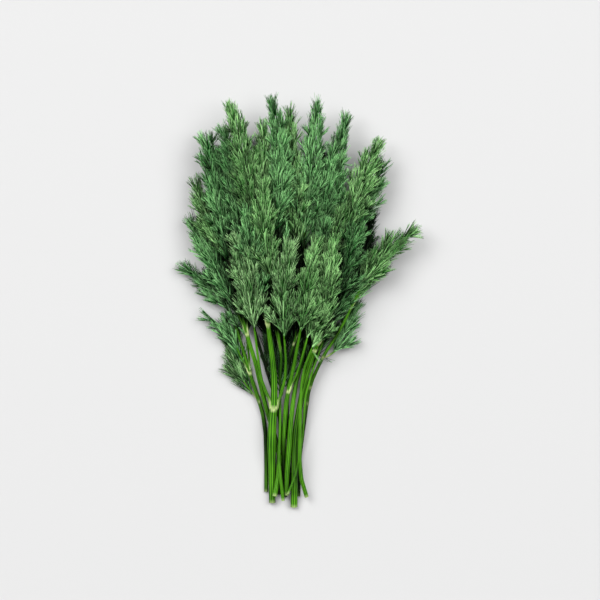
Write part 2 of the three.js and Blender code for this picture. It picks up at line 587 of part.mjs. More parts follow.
function buildStalk(strand, leafStrands) {
  const skin = new Skin();
  const n = sidesOf(strand);
  const joints = [...new Set(leafStrands.map((l) => l.parentPoint))].map((point) => {
    const s = strand.length[point];
    return { point, s, half: Math.max(SHORT_JOINT, JOINT_HALF * strand.girth(s)) };
  });
  const end = strand.bare - JOINT_GAP / 2;
  let from = null;
  for (const s of stalkStations(strand, joints, end)) {
    const to = ring(skin, strand.point(s), strand.along(s), strand.girth(s), n, -Math.PI / n);
    if (!from) skin.cap([...to].reverse());
    const joint = joints.find((j) => from && Math.abs(j.s + j.half - s) < 1e-6);
    if (joint) {
      const quads = from.map((a, i) => [a, from[(i + 1) % n], to[(i + 1) % n], to[i]]);
      const here = leafStrands.filter((l) => l.parentPoint === joint.point);
      const taken = sharePlaces(quads.map((q) => skin.middle(q)), strand.point(joint.s), here);
      quads.forEach((q, i) => {
        if (taken.has(i)) growFootstalk(skin, q, taken.get(i), strand, joint.s);
        else skin.cap(q);
      });
    } else if (from) {
      skin.band(from, to);
    }
    from = to;
  }
  skin.cap(from);
  for (const p of skin.points) {
    if (p.z < FLOOR_SNAP) p.z = 0;
  }
  return skin;
}

// ---------- Leaves ----------
// The rib of a leaf with its whorls. Each whorl keeps its six faces open for side ribs and threads.
function startLeaf(leaf) {
  const { strand } = leaf;
  const skin = new Skin();
  const start = strand.bare + JOINT_GAP / 2;
  const long = strand.end - start;
  const whorls = Math.max(FEWEST_WHORLS, Math.round(long / (leaf.open ? OPEN_SPACING : SPACING)));
  const lean = around(0, 0.3);
  const root = strand.girth(strand.bare);
  const station = (s) => {
    const radius = root + ((RIB_TIP - root) * (s - start)) / long;
    return ring(skin, strand.point(s), strand.along(s), radius, RIB_SIDES, lean);
  };
  let from = station(start);
  skin.cap([...from].reverse());
  leaf.skin = skin;
  leaf.threads = [];
  leaf.whorls = [];
  for (let k = 0; k < whorls; k++) {
    const share = k / (whorls - 1);
    const s = start + long * (FIRST_WHORL + (LAST_WHORL - FIRST_WHORL) * share);
    const low = station(s);
    const high = station(s + WHORL);
    skin.band(from, low);
    leaf.whorls.push({ sides: skin.sides(low, high), along: strand.along(s), share });
    from = high;
  }
  skin.point(from, strand.point(strand.end));
}

// Ways to try for a side rib: the share of its full length, and how far it is raised.
const SIDE_TRIES = [[1, 0], [1, 0.35], [1, -0.35], [0.8, 0.2], [0.8, -0.2], [0.6, 0.5], [0.6, -0.5],
  [0.45, 0]];

// A side rib in the leaf's own plane, bowed forward: bare, then a whorl, and a second on longer ones.
function growSideRib(leaf, slot, whorl, side, length) {
  const RAISED = 0.12; // side ribs rise a little from the leaf's plane
  const BOW = 0.4; // how far a side rib turns back along its rib
  const { skin, name } = leaf;
  const root = skin.middle(slot);
  const { along } = whorl;
  const [upright, right] = crossAxes(along);
  const angle = around(OPEN_ANGLE, 0.08);
  for (const [shorten, lift] of SIDE_TRIES) {
    const across = right.clone().multiplyScalar(side * Math.cos(lift));
    across.addScaledVector(upright, Math.sin(lift) + RAISED);
    const out = along.clone().multiplyScalar(Math.cos(angle)).addScaledVector(across, Math.sin(angle));
    const bend = out.clone().lerp(along, BOW).normalize();
    const reach = length * shorten;
    if (reach < SHORTEST_SIDE) continue;
    const at = (t) => {
      const p = root.clone().addScaledVector(out, reach * t * (1 - t / 2));
      p.addScaledVector(bend, (reach * t * t) / 2);
      p.z = Math.max(p.z, 2 * SIDE_ROOT * (1 - t));
      return p;
    };
    const stops = [at(0), at(1 / 3), at(2 / 3), at(1)];
    const radii = [SIDE_ROOT, SIDE_ROOT, SIDE_END, POINT];
    const pieces = [0, 1, 2].map((i) => [stops[i], stops[i + 1], radii[i], radii[i + 1]]);
    if (!pieces.every((piece, i) => isClear(name, ...piece, i ? 0 : SIDE_ROOTED))) continue;
    for (const piece of pieces) addRod(name, true, ...piece);
    let from = slot;
    for (const mark of reach > LONG_SIDE ? [1 / 3, 2 / 3] : [0.42]) {
      const middle = at(mark);
      const direction = at(mark + 0.05).sub(at(mark - 0.05)).normalize();
      const radius = SIDE_ROOT + (SIDE_END - SIDE_ROOT) * mark;
      const low = ringAfter(skin, from, middle, direction, radius);
      const high = ringAfter(skin, low, at(mark + SIDE_WHORL / reach), direction, radius);
      skin.band(from, low);
      for (const face of skin.sides(low, high).flat()) {
        leaf.threads.push({ face, middle, along: direction, size: SIDE_SHARE });
      }
      from = high;
    }
    skin.point(from, at(1));
    return true;
  }
  return false;
}

// Ways to try for a thread: the share of its full length, how much wider it opens, and its swing.
const THREAD_TRIES = [[1, 0, 0], [0.95, 0, 0.3], [0.95, 0, -0.3], [0.9, 0.14, 0], [0.9, -0.12, 0.45],
  [0.75, 0, -0.5], [0.7, 0.1, 0.5], [0.55, 0, 0], [0.5, 0.1, -0.3], [0.4, 0, 0.2]];

// A thread: a long three-sided point on one open face, bent clear of what is there already.
function growThread(leaf, { face, middle, along, size }) {
  const LEVEL = 0.75; // threads keep nearer to the leaf's plane than to upright
  const { skin, name } = leaf;
  const root = skin.middle(face);
  const away = root.clone().sub(middle);
  away.addScaledVector(along, -away.dot(along)).normalize();
  away.z *= LEVEL;
  away.normalize();
  const long = THREAD * size * around(1, 0.15);
  const angle = around(OPEN_ANGLE, 0.07);
  const sideways = new THREE.Vector3().crossVectors(along, away).normalize();
  for (const [shorten, open, swing] of THREAD_TRIES) {
    const out = away.clone().multiplyScalar(Math.cos(swing)).addScaledVector(sideways, Math.sin(swing));
    const direction = along.clone().multiplyScalar(Math.cos(angle + open));
    direction.addScaledVector(out, Math.sin(angle + open));
    const tip = root.clone().addScaledVector(direction, long * shorten);
    tip.z = Math.max(0, tip.z);
    if (!isClear(name, root, tip, THREAD_ROOT, POINT, THREAD_ROOTED)) continue;
    addRod(name, false, root, tip, THREAD_ROOT, POINT);
    skin.point(face, tip);
    return;
  }
  skin.face(...face);
}

// Side ribs to the right and left of each whorl, and threads on its other faces.
function growWhorls(leaf) {
  for (const whorl of leaf.whorls) {
    const [[rightSlot, upperRight], below, [upperLeft, leftSlot]] = whorl.sides;
    const length = leaf.reach * (1 - SIDE_TAPER * whorl.share) * around(1, 0.1);
    const middle = leaf.skin.middle([...rightSlot, ...leftSlot]);
    const open = [upperRight, upperLeft, ...below];
    if (!growSideRib(leaf, rightSlot, whorl, 1, length)) open.push(rightSlot);
    if (!growSideRib(leaf, leftSlot, whorl, -1, length * around(1, 0.08))) open.push(leftSlot);
    for (const face of open) leaf.threads.push({ face, middle, along: whorl.along, size: 1 });
  }
}

// ---------- The bunch ----------
const shifted = (p) => new THREE.Vector3(p[0] - MIDDLE[0], p[1] - MIDDLE[1], p[2]);

const stalks = STALKS.map((stalk, i) => {
  const radii = stalk.route.map((p) => p[3]);
  const strand = makeStrand(stalk.route.map(shifted), radii, stalk.leafy, null, 0);
  return { ...stalk, number: String(i + 1).padStart(2, "0"), strand };
});

// A leaf's strand starts at its stalk's middle and thins out to where the leaf itself starts.
function leafStrand(stalk, leaf) {
  const point = stalk.strand.at[leaf.at];
  const route = [stalk.strand.points[point].clone(), ...leaf.route.map(shifted)];
  const thick = Math.min(FOOTSTALK * stalk.strand.radius[point], FOOTSTALK_MOST);
  const radii = route.map((_, i) => {
    return i < leaf.leafy ? thick + ((FOOTSTALK_END - thick) * i) / leaf.leafy : FOOTSTALK_END;
  });
  return makeStrand(route, radii, leaf.leafy, stalk.strand, point);
}

const leaves = stalks.flatMap((stalk) => {
  const found = [stalk, ...stalk.leaves.map((leaf) => ({ ...leaf, strand: leafStrand(stalk, leaf) }))];
  return found.map(({ strand, reach, tint, open }, k) => {
    return { name: `leaf_${stalk.number}_${k + 1}`, strand, reach, tint, open };
  });
});

const strands = [...new Set([...stalks, ...leaves].map((piece) => piece.strand))];
settle(strands);
strands.forEach(measure);

for (const { name, strand } of leaves) {
  for (let i = 1; i < strand.points.length; i++) {
    const owner = i > strand.leafy ? name : "stalk";
    addRod(owner, true, strand.points[i - 1], strand.points[i], strand.radius[i - 1], strand.radius[i]);
  }
}
leaves.forEach(startLeaf);
leaves.forEach(growWhorls);
for (const leaf of leaves) leaf.threads.forEach((thread) => growThread(leaf, thread));

const finish = (colour) => new THREE.MeshStandardMaterial({ color: colour, roughness: 0.55, metalness: 0 });
const materials = Object.fromEntries(Object.entries(COLOURS).map(([k, colour]) => [k, finish(colour)]));
const bunch = new THREE.Group();
function addPiece(name, skin, material) {
  const mesh = new THREE.Mesh(skin.geometry(), material);
  mesh.name = name;
  bunch.add(mesh);
}
for (const { number, strand } of stalks) {
  const own = leaves.map((leaf) => leaf.strand).filter((s) => s.parent === strand);
  addPiece(`stalk_${number}`, buildStalk(strand, own), materials.stalk);
}
for (const { name, skin, tint } of leaves) addPiece(name, skin, materials[tint]);

export default bunch;
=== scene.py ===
# %% [markdown]
# # A bunch of fresh dill
# A bunch of dill lies on a table: twelve ribbed green stalks, cut off at the foot, that fan out into
# feathery leaves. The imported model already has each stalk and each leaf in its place, as plain
# few-sided solids. This lesson dresses them: every stalk gets a finer skin, and every leaf gets the
# fine threads that make dill look like dill. All lengths are in metres, and +Z is up.

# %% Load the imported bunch
import json
import math

import bpy
import numpy as np
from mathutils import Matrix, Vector
from mathutils.bvhtree import BVHTree

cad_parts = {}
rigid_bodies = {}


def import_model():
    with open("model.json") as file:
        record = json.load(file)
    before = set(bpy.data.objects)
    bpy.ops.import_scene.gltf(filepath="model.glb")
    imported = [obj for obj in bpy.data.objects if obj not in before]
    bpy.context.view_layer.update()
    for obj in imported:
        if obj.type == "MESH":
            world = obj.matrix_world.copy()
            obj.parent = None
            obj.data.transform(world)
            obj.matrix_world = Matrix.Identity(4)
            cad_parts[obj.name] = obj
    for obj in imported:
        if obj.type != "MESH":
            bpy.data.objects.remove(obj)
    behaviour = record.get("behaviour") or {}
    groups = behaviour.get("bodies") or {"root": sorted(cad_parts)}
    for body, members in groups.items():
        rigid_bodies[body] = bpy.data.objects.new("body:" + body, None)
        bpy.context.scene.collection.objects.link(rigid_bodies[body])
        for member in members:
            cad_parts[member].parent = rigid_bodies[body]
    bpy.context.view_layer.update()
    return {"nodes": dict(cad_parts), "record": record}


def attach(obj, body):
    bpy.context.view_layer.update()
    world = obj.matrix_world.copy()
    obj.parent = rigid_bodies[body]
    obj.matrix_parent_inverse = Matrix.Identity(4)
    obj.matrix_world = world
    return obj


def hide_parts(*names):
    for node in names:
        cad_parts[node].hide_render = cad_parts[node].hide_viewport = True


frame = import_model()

MM = 0.001
SEED = 20240517

draw = np.random.default_rng(SEED)
stalk_nodes = sorted(n for n in frame["nodes"] if n.startswith("stalk"))
leaf_nodes = sorted(n for n in frame["nodes"] if n.startswith("leaf"))

# %% [markdown]
# ## Floor, camera and light
# The bunch lies on white card, with the camera straight above it and large soft lamps around. The
# floor is one big plane, and the camera a long lens far up, so that the stalks don't lean. Two wide
# area lights hang beyond the leaves, the left one the brighter, and a smaller one hangs overhead.
# Card is matt: it scatters light evenly and mirrors nothing, so its roughness is near 1.

# %% Helpers: a clean selection, linear colour and shader nodes
def deselect():
    if bpy.context.object and bpy.context.object.mode != "OBJECT":
        bpy.ops.object.mode_set(mode="OBJECT")
    bpy.ops.object.select_all(action="DESELECT")


def linear(code):
    """An sRGB hex colour as the linear numbers that a shader wants."""
    parts = [int(code[i : i + 2], 16) / 255 for i in (1, 3, 5)]
    return [c / 12.92 if c <= 0.04045 else ((c + 0.055) / 1.055) ** 2.4 for c in parts] + [1.0]


def add(tree, kind, settings=None, links=None, values=None):
    """Adds a shader node, with its settings, what is linked into it and what is typed into it."""
    node = tree.nodes.new(kind)
    for key, value in (settings or {}).items():
        setattr(node, key, value)
    for key, value in (values or {}).items():
        node.inputs[key].default_value = value
    for key, source in (links or {}).items():
        tree.links.new(source, node.inputs[key])
    return node


def new_material(name):
    material = bpy.data.materials.new(name)
    material.use_nodes = True
    material.node_tree.nodes.clear()
    return material, material.node_tree


# %% The floor
CARD = "#C9C9C9"
FLOOR_SIDE = 6.0

deselect()
bpy.ops.mesh.primitive_plane_add(size=FLOOR_SIDE, location=(0, 0, 0))
floor = bpy.context.object
floor.name = "floor_card"
card, tree = new_material("matt_white_card")
shader = add(tree, "ShaderNodeBsdfPrincipled", values={"Base Color": linear(CARD), "Roughness": 0.9})
add(tree, "ShaderNodeOutputMaterial", links={"Surface": shader.outputs["BSDF"]})
floor.data.materials.append(card)
print("floor", FLOOR_SIDE, "m a side")

# %% The camera, straight above
PICTURE_WIDTH = 438 * MM
CAMERA_HEIGHT = 3.0
MIDDLE_HEIGHT = 20 * MM
AIM = Vector((0.9 * MM, 2.3 * MM, MIDDLE_HEIGHT))
SENSOR = 36.0

camera_data = bpy.data.cameras.new("camera_above")
camera_data.sensor_width = SENSOR
camera_data.lens = SENSOR * CAMERA_HEIGHT / PICTURE_WIDTH
camera_data.clip_end = 100
camera = bpy.data.objects.new("camera_above", camera_data)
bpy.context.scene.collection.objects.link(camera)
camera.location = AIM + Vector((0, 0, CAMERA_HEIGHT))
bpy.context.scene.camera = camera
print("lens", round(camera_data.lens, 1), "mm")

# %% The lamps
ROOM_GLOW = 0.04


def lamp(name, place, size, watts):
    data = bpy.data.lights.new(name, "AREA")
    data.size = size
    data.energy = watts
    light = bpy.data.objects.new(name, data)
    bpy.context.scene.collection.objects.link(light)
    light.location = place
    light.rotation_euler = (-Vector(place)).to_track_quat("-Z", "Y").to_euler()


lamp("softbox_left", (-3.8, 3.4, 7.2), 6.0, 780)
lamp("softbox_right", (3.8, 2.0, 7.2), 6.0, 545)
lamp("softbox_above", (0.3, 0.6, 8.0), 3.0, 80)

world = bpy.data.worlds.new("pale_room")
world.use_nodes = True
room = world.node_tree.nodes["Background"]
room.inputs["Color"].default_value = (1, 1, 1, 1)
room.inputs["Strength"].default_value = ROOM_GLOW
bpy.context.scene.world = world
bpy.context.scene.view_settings.view_transform = "Standard"
print(len(bpy.data.lights), "lamps")

# %% [markdown]
# ## The skin of a stalk
# A dill stalk is a hollow, ribbed tube with a thin waxy skin: bright green, with paler ribs, and
# nearly white-green where a pair of leaves leaves it. The wax dulls its shine to a broad soft sheen.
# Ribs, blotches and fine fibres together pick a green between that of the furrows and that of the
# ribs: partly the ribs' own paler green, partly a painted highlight on the ribs and painted shade in
# the furrows. Two numbers on the stalk's points do the rest: "joint" turns it pale, and "buried"
# paints shade on what lies deep between the other stalks.

# %% Stalk skin
RIBS = 9
RIB_WAVE = 0.32
RIB_BUMP = 0.3 * MM
BLOTCHES = 45.0  # to the metre, so one every 22 mm
FIBRES = (6, 60, 1)  # along a stalk and around it: about 40 mm long and 0.3 mm wide
GREEN_GAIN, GREEN_SHIFT = 1.3, -0.85
# Painted shade: how deep below the top of the bunch a stalk is darkest, and how dark it gets there.
STALK_DARK = 5 * MM
STALK_SHADED = 0.05


def stalk_skin(name, furrow, rib, pale):
    material, tree = new_material(name)
    place = add(tree, "ShaderNodeTexCoord").outputs["Object"]
    skin_map = add(tree, "ShaderNodeUVMap", {"uv_map": "skin"}).outputs["UV"]
    joint = add(tree, "ShaderNodeAttribute", {"attribute_name": "joint"}).outputs["Fac"]
    buried = add(tree, "ShaderNodeAttribute", {"attribute_name": "buried"}).outputs["Fac"]
    around = add(tree, "ShaderNodeSeparateXYZ", links={"Vector": skin_map}).outputs["Y"]
    turns = add(
        tree, "ShaderNodeMath", {"operation": "MULTIPLY"}, {0: around}, {1: 2 * math.pi * RIBS}
    )
    wave = add(tree, "ShaderNodeMath", {"operation": "COSINE"}, {0: turns.outputs[0]})
    blotch = add(
        tree,
        "ShaderNodeTexNoise",
        links={"Vector": place},
        values={"Scale": BLOTCHES, "Detail": 3.0},
    )
    stretch = add(
        tree, "ShaderNodeMapping", links={"Vector": skin_map}, values={"Scale": FIBRES}
    )
    fine = add(
        tree,
        "ShaderNodeTexNoise",
        links={"Vector": stretch.outputs[0]},
        values={"Scale": 1.0, "Detail": 2.0},
    )
    # The rib wave sets the green: partly the ribs' own paler green, partly a painted highlight on the
    # ribs and painted shade in the furrows.
    ribbing = add(
        tree,
        "ShaderNodeMath",
        {"operation": "MULTIPLY_ADD"},
        {0: wave.outputs[0], 2: fine.outputs["Fac"]},
        {1: RIB_WAVE},
    )
    share = add(
        tree,
        "ShaderNodeMath",
        {"operation": "ADD"},
        {0: ribbing.outputs[0], 1: blotch.outputs["Fac"]},
    )
    level = add(
        tree,
        "ShaderNodeMath",
        {"operation": "MULTIPLY_ADD", "use_clamp": True},
        {0: share.outputs[0]},
        {1: GREEN_GAIN, 2: GREEN_SHIFT},
    )
    skin = add(
        tree,
        "ShaderNodeMix",
        {"data_type": "RGBA"},
        {"Factor": level.outputs[0]},
        {"A": linear(furrow), "B": linear(rib)},
    )
    whole = add(
        tree,
        "ShaderNodeMix",
        {"data_type": "RGBA"},
        {"Factor": joint, "A": skin.outputs["Result"]},
        {"B": linear(pale)},
    )
    # Painted shade: the deeper a point lies below the stalks around it, the darker its green.
    buried_shade = add(
        tree,
        "ShaderNodeMapRange",
        links={"Value": buried},
        values={"From Max": STALK_DARK, "To Min": 1.0, "To Max": STALK_SHADED},
    )
    shaded = add(
        tree,
        "ShaderNodeMix",
        {"data_type": "RGBA", "blend_type": "MULTIPLY"},
        {"A": whole.outputs["Result"], "B": buried_shade.outputs["Result"]},
        {"Factor": 1.0},
    )
    bump = add(
        tree,
        "ShaderNodeBump",
        links={"Height": ribbing.outputs[0]},
        values={"Strength": 0.5, "Distance": RIB_BUMP},
    )
    shader = add(
        tree,
        "ShaderNodeBsdfPrincipled",
        links={"Base Color": shaded.outputs["Result"], "Normal": bump.outputs[0]},
        values={"Roughness": 0.5, "IOR": 1.42, "Specular IOR Level": 0.15},
    )
    add(tree, "ShaderNodeOutputMaterial", links={"Surface": shader.outputs["BSDF"]})
    return material


# The near-black furrow green is painted shade, the rib green partly a painted highlight.
waxy_stalk = stalk_skin("waxy_ribbed_stalk_skin", "#073A02", "#5EA61E", "#D4E49E")
print("skin", waxy_stalk.name)

# %% [markdown]
# ## The stalks
# A real stalk is a tube with eight or nine fine ribs, a little swollen and pale where a pair of
# leaves leaves it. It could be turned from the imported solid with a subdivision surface, but that
# loses the ribs. So the middle line of each packed stalk is felt out from inside with rays, and a
# ribbed outline is swept along it as the bevel of a curve, which also gives the skin a map that
# runs along and around the stalk.

# %% Helper: unit vectors
SHORTEST = 1e-12


def unit(v):
    return v / np.maximum(np.linalg.norm(v, axis=-1, keepdims=True), SHORTEST)


# %% Helper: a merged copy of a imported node
MERGE = 0.002 * MM


def merged_copy(node, name):
    deselect()
    piece = bpy.data.objects.new(name, frame["nodes"][node].data.copy())
    piece.data.materials.clear()
    bpy.context.scene.collection.objects.link(piece)
    bpy.context.view_layer.objects.active = piece
    piece.select_set(True)
    bpy.ops.object.mode_set(mode="EDIT")
    bpy.ops.mesh.select_all(action="SELECT")
    bpy.ops.mesh.remove_doubles(threshold=MERGE)
    bpy.ops.object.mode_set(mode="OBJECT")
    return piece


# %% Helper: look ahead inside a packed tube
FURTHEST = 15 * MM
CLEARLY = 0.2 * MM
LOOKS = [0, 0.05, 0.11, 0.18, 0.26]
LOOKS_ROUND = 8


def solid_of(mesh):
    corners = [v.co.copy() for v in mesh.vertices]
    return BVHTree.FromPolygons(corners, [list(p.vertices) for p in mesh.polygons])


def across_of(ahead):
    side = ahead.cross(Vector((0, 0, 1))).normalized()
    return side, side.cross(ahead)


def clearest(solid, place, ahead):
    """The way near `ahead` that sees furthest inside a tube, and how far."""
    side, up = across_of(ahead)
    best, far = ahead, 0.0
    for tilt in LOOKS:
        for k in range(LOOKS_ROUND if tilt else 1):
            turn = 2 * math.pi * k / LOOKS_ROUND
            out = side * math.cos(turn) + up * math.sin(turn)
            way = (ahead + out * math.tan(tilt)).normalized()
            hit = solid.ray_cast(place, way, FURTHEST)
            seen = hit[3] if hit[0] else FURTHEST
            if seen > far + CLEARLY:
                best, far = way, seen
    return best, far


# %% Helper: feel out the middle line of a packed tube
FAR = 1.0  # further than anything in the bunch
RAYS = 24
STALK_STEP = 1 * MM
MOST_STEPS = 400
WALL_WITHIN = 20 * MM
OPENED_OUT = 2
WIDENS_BY = 1.15
SIDE_BRANCH = 1.7
END_WITHIN = 1.3


def feel_line(solid, place, ahead, step=STALK_STEP, stop=None):
    """Middle points and radii of a tube, from a place inside it to its end, or until stop(place)."""
    line, usual = [], FAR
    while len(line) < MOST_STEPS:
        side, up = across_of(ahead)
        reach = []
        for k in range(RAYS):
            turn = 2 * math.pi * k / RAYS
            way = side * math.cos(turn) + up * math.sin(turn)
            hit = solid.ray_cast(place, way, WALL_WITHIN)
            reach.append((hit[3] if hit[0] else FAR, way))
        radius = float(np.median([r[0] for r in reach]))
        if radius > OPENED_OUT * usual:
            break
        usual = min(radius, WIDENS_BY * usual)
        shift, pairs = Vector(), 0
        for near, far in zip(reach[: RAYS // 2], reach[RAYS // 2 :]):
            if max(near[0], far[0]) < SIDE_BRANCH * usual:
                shift += near[1] * (near[0] - far[0]) / 2
                pairs += 1
        place = place + shift / max(1, pairs)
        line.append((place.copy(), radius))
        best, far = clearest(solid, place, ahead)
        if far < step * END_WITHIN or (stop and stop(place)):
            break
        ahead = (ahead + best).normalized()
        place = place + ahead * step
    return line


# %% Helper: where a stalk was cut, and where its leaves begin
FACING = -0.97
SAME_WAY = 0.99
CUT_WITHIN = 6 * MM


def faces_of(node):
    mesh = frame["nodes"][node].data
    return np.array([p.center for p in mesh.polygons]), np.array([p.normal for p in mesh.polygons])


def meeting(leaf_node, stalk_node):
    """Middle of the face of a packed leaf that looks at its stalk's, and the way into the leaf."""
    centres, normals = faces_of(leaf_node)
    others, facing = faces_of(stalk_node)
    gaps = np.linalg.norm(centres[:, None] - others[None], axis=2)
    gaps[normals @ facing.T > FACING] = FAR
    first = gaps.min(1).argmin()
    return Vector(centres[first]), -Vector(normals[first])


def cut_end(mesh, near_to):
    """Middle and outward direction of the flat end of a packed stalk or footstalk."""
    first = min(mesh.polygons, key=lambda p: (p.center - near_to).length)
    near = [p for p in mesh.polygons if (p.center - first.center).length < CUT_WITHIN]
    cap = [p for p in near if p.normal.dot(first.normal) > SAME_WAY]
    area = sum(p.area for p in cap)
    return sum((p.center * p.area for p in cap), Vector()) / area, first.normal.copy()


# %% Helper: a ribbed tube swept along a line
RIB_POINTS = 4
RIB_DEPTH = 0.055
FOOTSTALK_RIBS = 5
FOOTSTALK_RIB_POINTS = 3


def ribbed_outline(name, ribs, points):
    outline = bpy.data.curves.new(name, "CURVE")
    outline.dimensions = "3D"
    spline = outline.splines.new("POLY")
    count = ribs * points
    spline.points.add(count - 1)
    for k in range(count):
        turn = 2 * math.pi * k / count
        r = 1 - RIB_DEPTH + RIB_DEPTH * math.cos(turn * ribs)
        spline.points[k].co = (r * math.cos(turn) * MM, r * math.sin(turn) * MM, 0, 1)
    spline.use_cyclic_u = True
    found = bpy.data.objects.new(name, outline)
    bpy.context.scene.collection.objects.link(found)
    return found


stalk_outline = ribbed_outline("stalk_outline", RIBS, RIB_POINTS)
footstalk_outline = ribbed_outline("footstalk_outline", FOOTSTALK_RIBS, FOOTSTALK_RIB_POINTS)
print("outlines of", RIBS, "and", FOOTSTALK_RIBS, "ribs")


def swept(name, line, outline):
    """A closed tube round a line of (place, radius), as a mesh."""
    curve = bpy.data.curves.new(name, "CURVE")
    curve.dimensions = "3D"
    curve.bevel_mode = "OBJECT"
    curve.bevel_object = outline
    curve.use_fill_caps = True
    curve.twist_mode = "Z_UP"
    spline = curve.splines.new("POLY")
    spline.points.add(len(line) - 1)
    for point, (place, radius) in zip(spline.points, line):
        point.co = (*place, 1)
        point.radius = radius / MM
    tube = bpy.data.objects.new(name, curve)
    bpy.context.scene.collection.objects.link(tube)
    deselect()
    tube.select_set(True)
    bpy.context.view_layer.objects.active = tube
    bpy.ops.object.convert(target="MESH")
    tube = bpy.context.object
    tube.data.uv_layers[0].name = "skin"
    return tube


def smoothed(line, every):
    """Every few points of a line, evened out, with both ends kept."""
    places = np.array([p for p, _ in line])
    radii = np.array([r for _, r in line])
    for _ in range(every):
        places[1:-1] = (places[:-2] + 2 * places[1:-1] + places[2:]) / 4
        radii[1:-1] = (radii[:-2] + 2 * radii[1:-1] + radii[2:]) / 4
    picks = sorted({*range(0, len(line) - 1, every), len(line) - 1})
    return [(Vector(places[i]), float(radii[i])) for i in picks]


# %% Helper: numbers on the points, and nothing under the table
def write_attribute(mesh, name, values):
    layer = mesh.attributes.get(name) or mesh.attributes.new(name, "FLOAT", "POINT")
    layer.data.foreach_set("value", np.asarray(values, np.float32))


def above_floor(mesh):
    """Lifts any corner that is under the table onto it, and returns the corners."""
    at = np.array([v.co for v in mesh.vertices])
    at[:, 2] = np.maximum(at[:, 2], 0)
    mesh.vertices.foreach_set("co", at.ravel())
    return at


# %% Helper: how pale a stalk or a footstalk is
COLLAR_PALE = 0.75 * MM
COLLAR_DIP = 1.6 * MM
COLLAR_WITHIN = 2.5
ROOT_PALE = 4.5 * MM
CUT_PALE = 0.45
CUT_GIRTH = 1.25


def write_stalk_pale(stalk, rings, cut, girth):
    """A thin pale collar at each joint, drawn down on top, and a paler cut end."""
    at = above_floor(stalk.data)
    pale = np.zeros(len(at))
    for middle, ahead, wide in rings:
        away = at - middle
        ring = np.abs(away @ ahead + COLLAR_DIP * away[:, 2] / wide) / COLLAR_PALE
        close = np.linalg.norm(away, axis=1) < COLLAR_WITHIN * wide
        pale = np.maximum(pale, np.exp(-(ring**2)) * close)
    pale = np.maximum(pale, CUT_PALE * (np.linalg.norm(at - cut, axis=1) < girth * CUT_GIRTH))
    write_attribute(stalk.data, "joint", pale)


def write_foot_pale(foot, rings):
    """Pale where the footstalk leaves the stalk."""
    at = above_floor(foot.data)
    pale = np.zeros(len(at))
    for middle, _, _ in rings:
        gap = np.linalg.norm(at - middle, axis=1)
        pale = np.maximum(pale, np.exp(-((gap / ROOT_PALE) ** 2)))
    write_attribute(foot.data, "joint", pale)


# %% Dress the stalks
RING_EVERY = 2
SWELL = 0.22
SWELL_LENGTH = 1.6 * MM
BELOW_FOOT = Vector((0, -4 * MM, 0))
CUT_IN, TIP_IN = 0.8, 0.6  # in millimetres, from an end to where the feeling starts
JOINT_OVER = 2  # in points, 1 mm apart
TUCK = 3 * MM
STALK_TUCK_GIRTH = 0.8
FOOT_TUCK_GIRTH = 0.75
FOOTSTALK_GIRTH = 1.12
ARRIVED = 0.55
STALK_CREASE = math.radians(50)

leaf_starts = {}
for node in stalk_nodes:
    number = node.split("_")[1]
    mesh = frame["nodes"][node].data
    solid = solid_of(mesh)
    foot = min((v.co for v in mesh.vertices), key=lambda corner: corner.y)
    cut, outward = cut_end(mesh, foot + BELOW_FOOT)
    line = feel_line(solid, cut - outward * CUT_IN * MM, -outward)
    line[0] = (cut, line[0][1])
    main = np.array([p for p, _ in line])
    girths = np.array([r for _, r in line])
    joints, rings, feet = [], [], []
    for leaf_node in (n for n in leaf_nodes if n.split("_")[1] == number):
        start, ahead = leaf_starts[leaf_node] = meeting(leaf_node, node)
        if leaf_node.endswith("_1"):
            line.append((start + ahead * TUCK, line[-1][1] * STALK_TUCK_GIRTH))
            continue

        def arrived(place):
            gap = np.linalg.norm(main - np.array(place), axis=1)
            return gap.min() < girths[gap.argmin()] * ARRIVED

        tip, way = cut_end(mesh, start)
        back = feel_line(solid, tip - way * TIP_IN * MM, -way, stop=arrived)
        gap = np.linalg.norm(main - np.array(back[-1][0]), axis=1)
        joint = int(gap.argmin())
        joints.append(main[joint])
        along = unit(main[min(joint + JOINT_OVER, len(main) - 1)] - main[joint - JOINT_OVER])
        rings.append((main[joint], along, girths[joint]))
        root = Vector(main[max(0, joint - JOINT_OVER)])
        back = [(p, r * FOOTSTALK_GIRTH) for p, r in back]
        back = [(start + ahead * TUCK, back[0][1] * FOOT_TUCK_GIRTH)] + back + [(root, back[-1][1])]
        feet.append(back[::-1])
    for i, (place, radius) in enumerate(line):
        near = min([(place - Vector(j)).length for j in joints], default=FAR)
        line[i] = (place, radius * (1 + SWELL * math.exp(-((near / SWELL_LENGTH) ** 2))))
    stalk = swept("ribbed_" + node, smoothed(line, RING_EVERY), stalk_outline)
    parts = [swept("foot", smoothed(f, RING_EVERY), footstalk_outline) for f in feet]
    write_stalk_pale(stalk, rings, main[0], girths[0])
    for part in parts:
        write_foot_pale(part, rings)
    deselect()
    for part in [*parts, stalk]:
        part.select_set(True)
    bpy.context.view_layer.objects.active = stalk
    if parts:
        bpy.ops.object.join()
    bpy.ops.object.shade_smooth_by_angle(angle=STALK_CREASE)
    stalk.data.materials.clear()
    stalk.data.materials.append(waxy_stalk)
    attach(stalk, "root")
    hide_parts(node)
    print(node, len(line), "mm long,", len(joints), "footstalks,", len(stalk.data.polygons), "faces")

for outline in (stalk_outline, footstalk_outline):
    bpy.data.objects.remove(outline)

# %% [markdown]
# ## The skin of the threads
# The threads of a dill leaf are soft green with a faint bluish bloom of wax that rubs off, so no two
# are the same green, their ends are paler, and they hardly shine. Each thread carries two numbers on
# its points: how far "along" it a point is, and a "chance" of its own. With a slow noise, chance
# picks its green. A third number, "buried", paints shade on what lies deep in the bunch. The inner
# third of each thread gets painted shade too, because its neighbours stand over it there.

